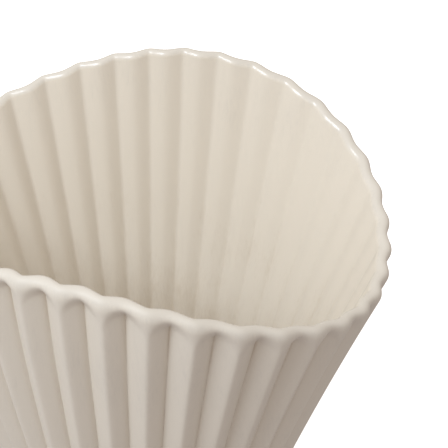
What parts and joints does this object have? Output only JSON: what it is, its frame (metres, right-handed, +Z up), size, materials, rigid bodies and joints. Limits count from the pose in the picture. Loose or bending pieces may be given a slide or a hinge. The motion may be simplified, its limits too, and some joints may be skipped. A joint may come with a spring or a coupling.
{
  "type": "vase",
  "caption": "Flaring ceramic flower vase with deep vertical fluting outside, soft waves inside and a rounded, waving lip that is high on the broad sides and low at the ends of its oval mouth.",
  "frame": {"origin": "centre of the round foot, on the surface that the vase stands on", "axes": "+Z up; +X along the long way of the oval mouth, to the lower of its two ends; +Y across the mouth, to a broad side"},
  "size_m": [0.2052, 0.1822, 0.2208],
  "materials": {
    "cream_glaze": "cream satin glaze over pale stoneware, thinner and a little warmer on the edges of the ribs",
    "bare_stoneware": "unglazed, wiped clean before firing, matt and slightly sandy",
    "felt": "pressed wool felt, matt and slightly fuzzy"
  },
  "bodies": {
    "root": {"fluted_wall": "cream_glaze", "floor_slab": "cream_glaze", "foot_ring": "bare_stoneware", "felt_pad_1": "felt", "felt_pad_2": "felt", "felt_pad_3": "felt", "felt_pad_4": "felt"}
  },
  "joints": []
}
